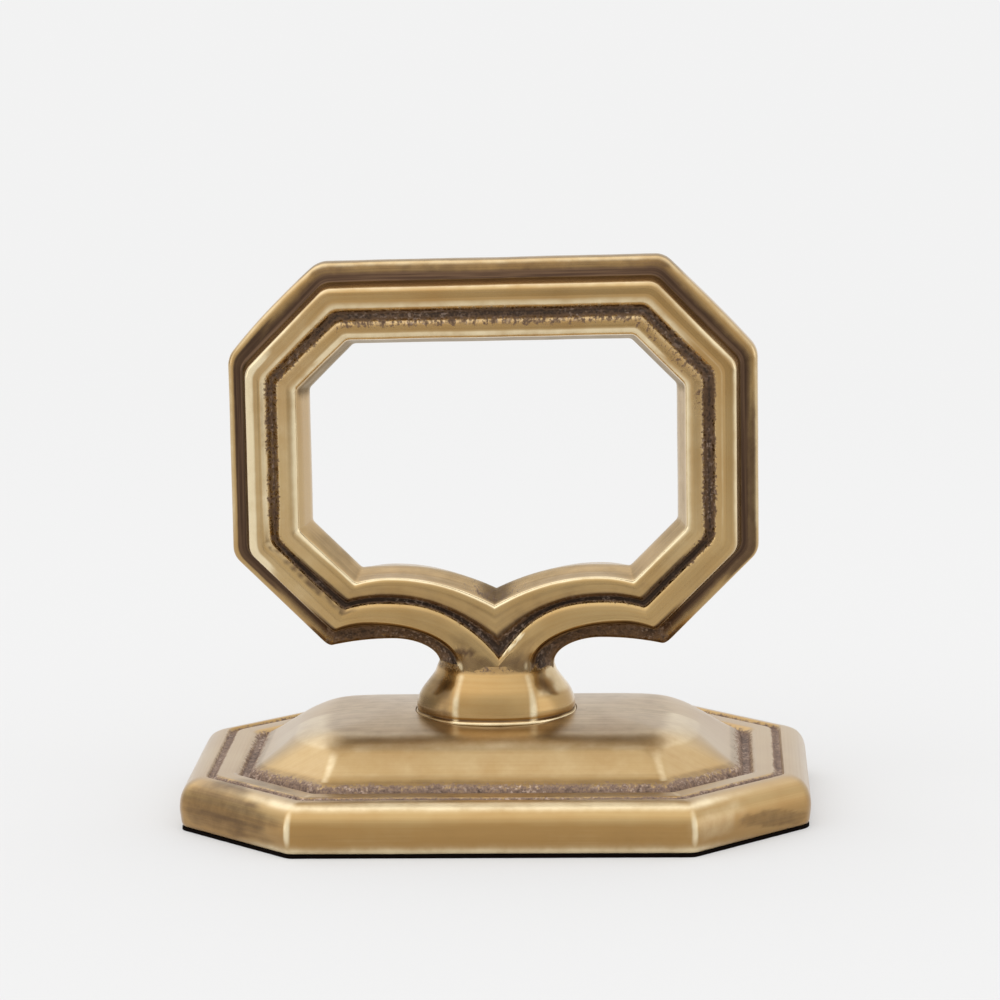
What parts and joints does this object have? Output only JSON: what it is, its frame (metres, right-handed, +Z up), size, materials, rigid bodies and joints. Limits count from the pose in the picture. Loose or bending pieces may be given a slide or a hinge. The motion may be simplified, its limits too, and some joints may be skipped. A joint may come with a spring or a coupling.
{
  "type": "place card napkin ring",
  "caption": "Eight-sided reeded brass ring with a V-notched bottom, on a flared foot and a domed eight-sided base with a felt pad, for standing a rolled napkin on a table.",
  "frame": {"origin": "on the table, under the middle of the felt pad", "axes": "+X to the right along the base's long sides, +Y to the back along the axis of the ring's opening, +Z up"},
  "size_m": [0.07, 0.0512, 0.0618],
  "materials": {
    "aged_brass": "satin, with dark patina in the grooves",
    "plated_steel": "satin",
    "black_felt": "matt felt"
  },
  "bodies": {
    "root": {"ring_frame": "aged_brass", "base_casting": "aged_brass", "fixing_screw": "plated_steel", "flat_washer": "plated_steel", "felt_pad": "black_felt"}
  },
  "joints": []
}
